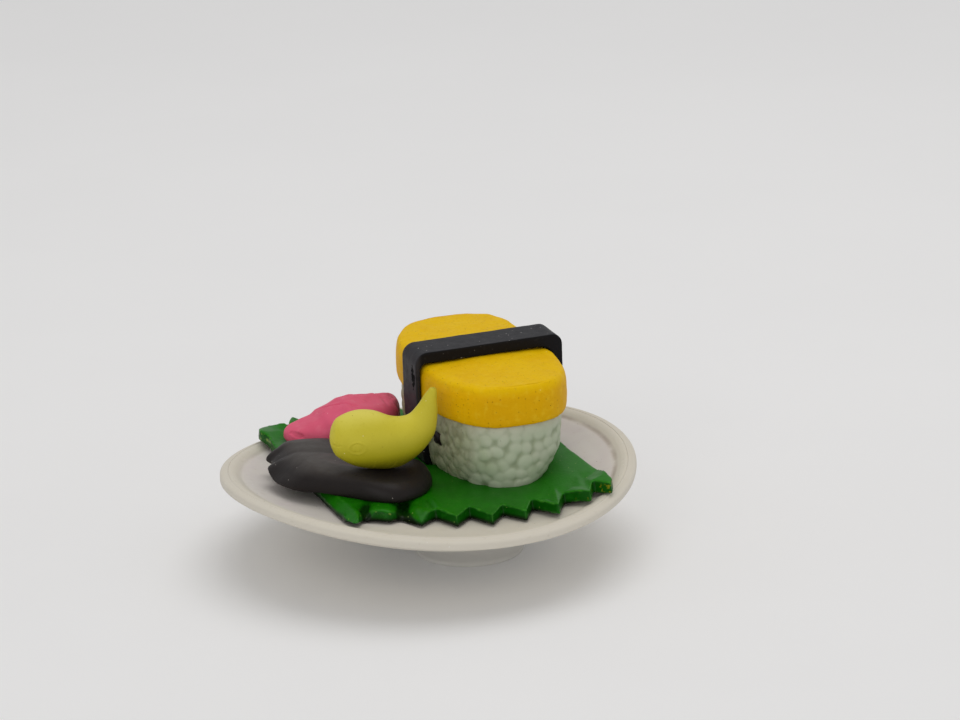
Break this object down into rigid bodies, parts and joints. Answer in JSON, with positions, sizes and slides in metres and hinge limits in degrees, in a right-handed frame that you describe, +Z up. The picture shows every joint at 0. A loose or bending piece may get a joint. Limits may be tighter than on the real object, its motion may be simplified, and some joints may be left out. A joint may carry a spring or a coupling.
{
  "type": "egg sushi",
  "caption": "Toy egg sushi: a yellow egg slab on pebbled rice held by a black seaweed band, on a toothed green leaf and a round footed dish with pink, dark and yellow-green garnish.",
  "frame": {"origin": "centre of the bounding box at its base, under the dish's axis, on the table", "axes": "+Z up; +X across the sushi, towards the side it stands on; +Y along the sushi, away from its shown end"},
  "size_m": [0.07, 0.07, 0.0351],
  "materials": {
    "dish": "satin off-white moulded plastic",
    "leaf": "satin green paint with dark shaded edges",
    "rice": "matt pale greenish white, pebbled",
    "egg": "matt yellow paint, finely pitted",
    "nori_band": "satin black paint, worn on one side",
    "ginger": "matt pink paint",
    "dark_slices": "satin brown-black paint",
    "comma_garnish": "satin yellow-green paint"
  },
  "bodies": {
    "root": {"dish": "dish", "leaf": "leaf", "rice": "rice", "egg": "egg", "nori_band": "nori_band", "ginger": "ginger", "dark_slices": "dark_slices", "comma_garnish": "comma_garnish"}
  },
  "joints": []
}
